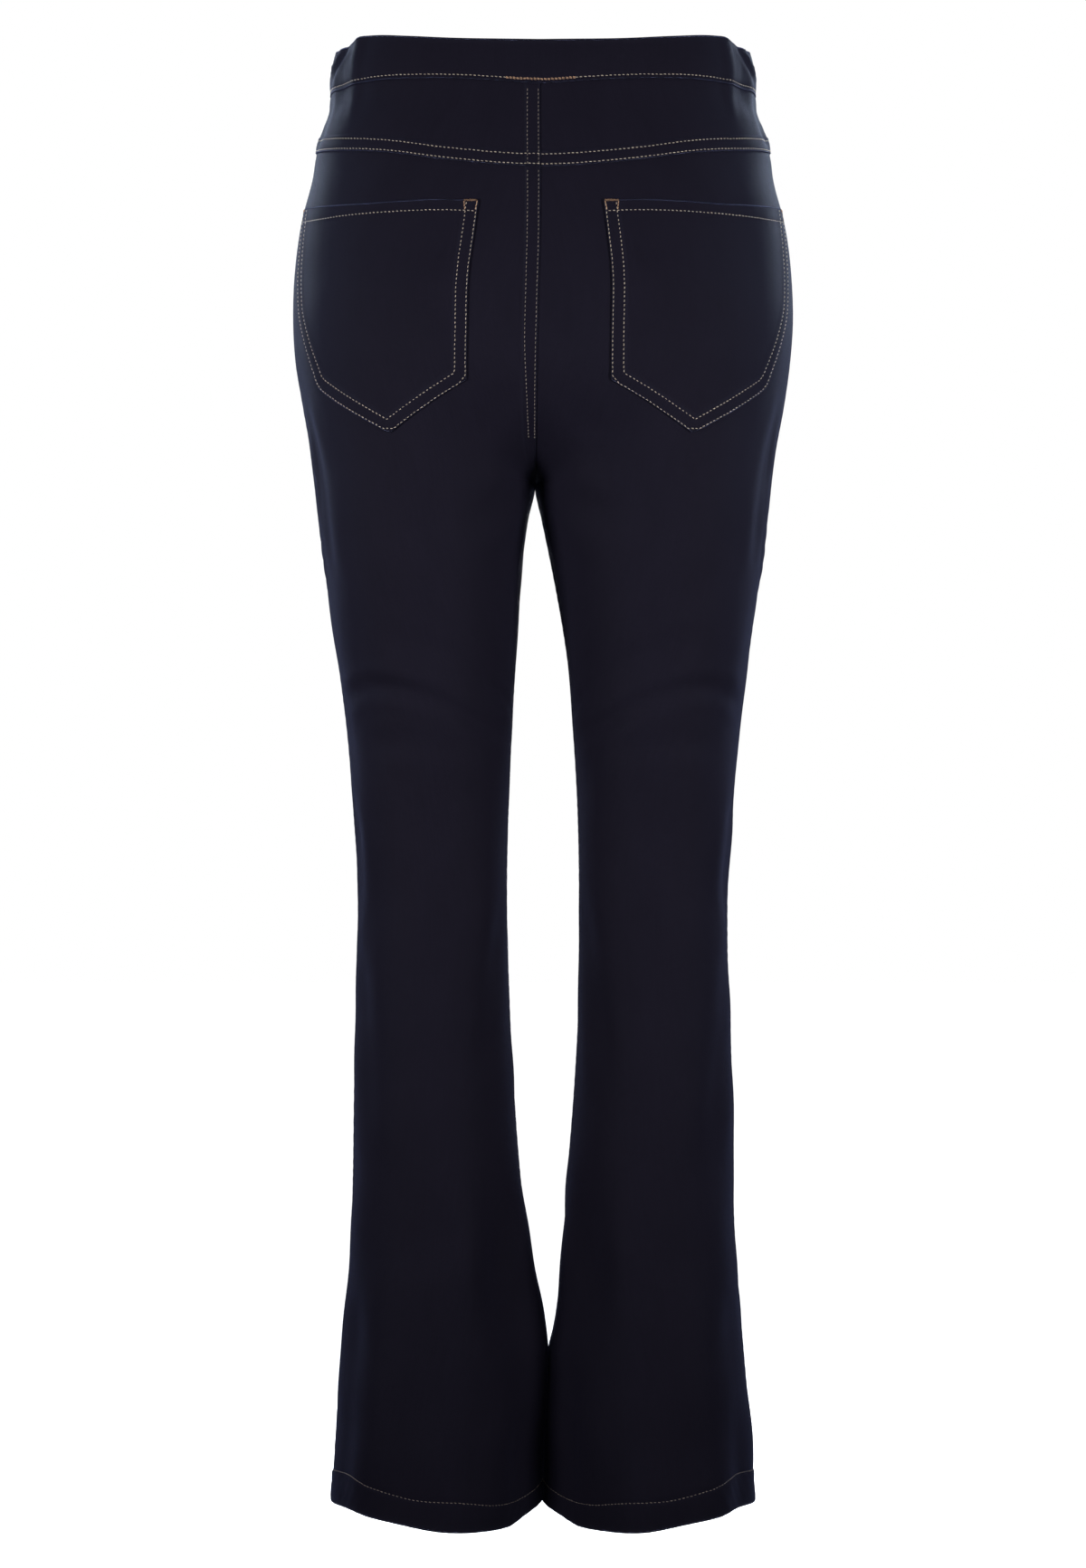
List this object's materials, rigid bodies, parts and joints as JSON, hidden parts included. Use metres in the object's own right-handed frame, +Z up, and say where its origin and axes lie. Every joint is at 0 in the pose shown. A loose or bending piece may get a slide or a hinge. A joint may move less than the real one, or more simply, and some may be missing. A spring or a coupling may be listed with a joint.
{
  "type": "flared jeggings",
  "caption": "Pull-on stretch denim jeggings with an elastic waistband, back yoke, patch back pockets and flared legs, filled out as if worn.",
  "frame": {"origin": "middle of the waist, half way up the waistband, where the wearer holds the garment up", "axes": "+Z up along the legs towards the waist, -Y the garment's back, +Y its front, +X the wearer's right"},
  "size_m": [0.3584, 0.2305, 1.0462],
  "materials": {
    "denim": "very dark indigo stretch denim twill, matt, with tan topstitching"
  },
  "bodies": {
    "root": {"waistband_back": "denim", "waistband_front": "denim", "yoke_left": "denim", "yoke_right": "denim", "back_leg_left": "denim", "back_leg_right": "denim", "front_leg_left": "denim", "front_leg_right": "denim", "pocket_left": "denim", "pocket_right": "denim"}
  },
  "joints": []
}
